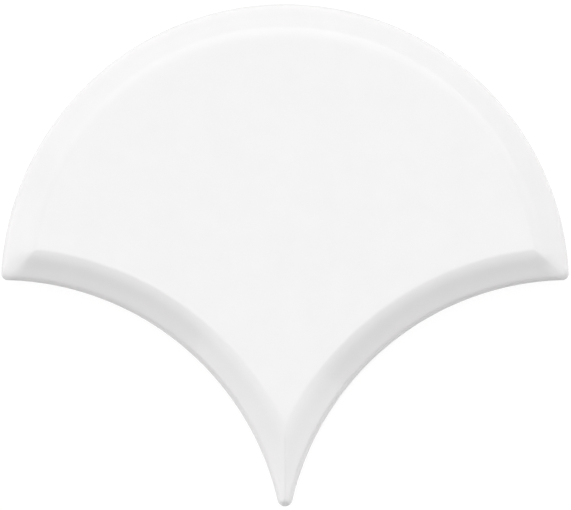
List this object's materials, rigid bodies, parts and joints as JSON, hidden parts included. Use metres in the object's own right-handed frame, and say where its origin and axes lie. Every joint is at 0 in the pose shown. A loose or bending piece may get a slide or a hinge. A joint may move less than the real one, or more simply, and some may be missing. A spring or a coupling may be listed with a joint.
{
  "type": "fish scale tile",
  "caption": "Glazed ceramic wall tile of fish scale outline, with a round head, scooped flanks, blunt tail, bevelled face and keyed back, for nesting in rows.",
  "frame": {"origin": "on the bedding plane, in the middle of the box round the tile's outline", "axes": "+X across the shoulders, +Y from the tail to the head, +Z out of the glazed face"},
  "size_m": [0.1198, 0.106, 0.009],
  "materials": {
    "white_glaze": "gloss white glaze on face, bevels and upper sides; bare off-white fired body on lower sides and back"
  },
  "bodies": {
    "root": {"fish_scale_tile": "white_glaze"}
  },
  "joints": []
}
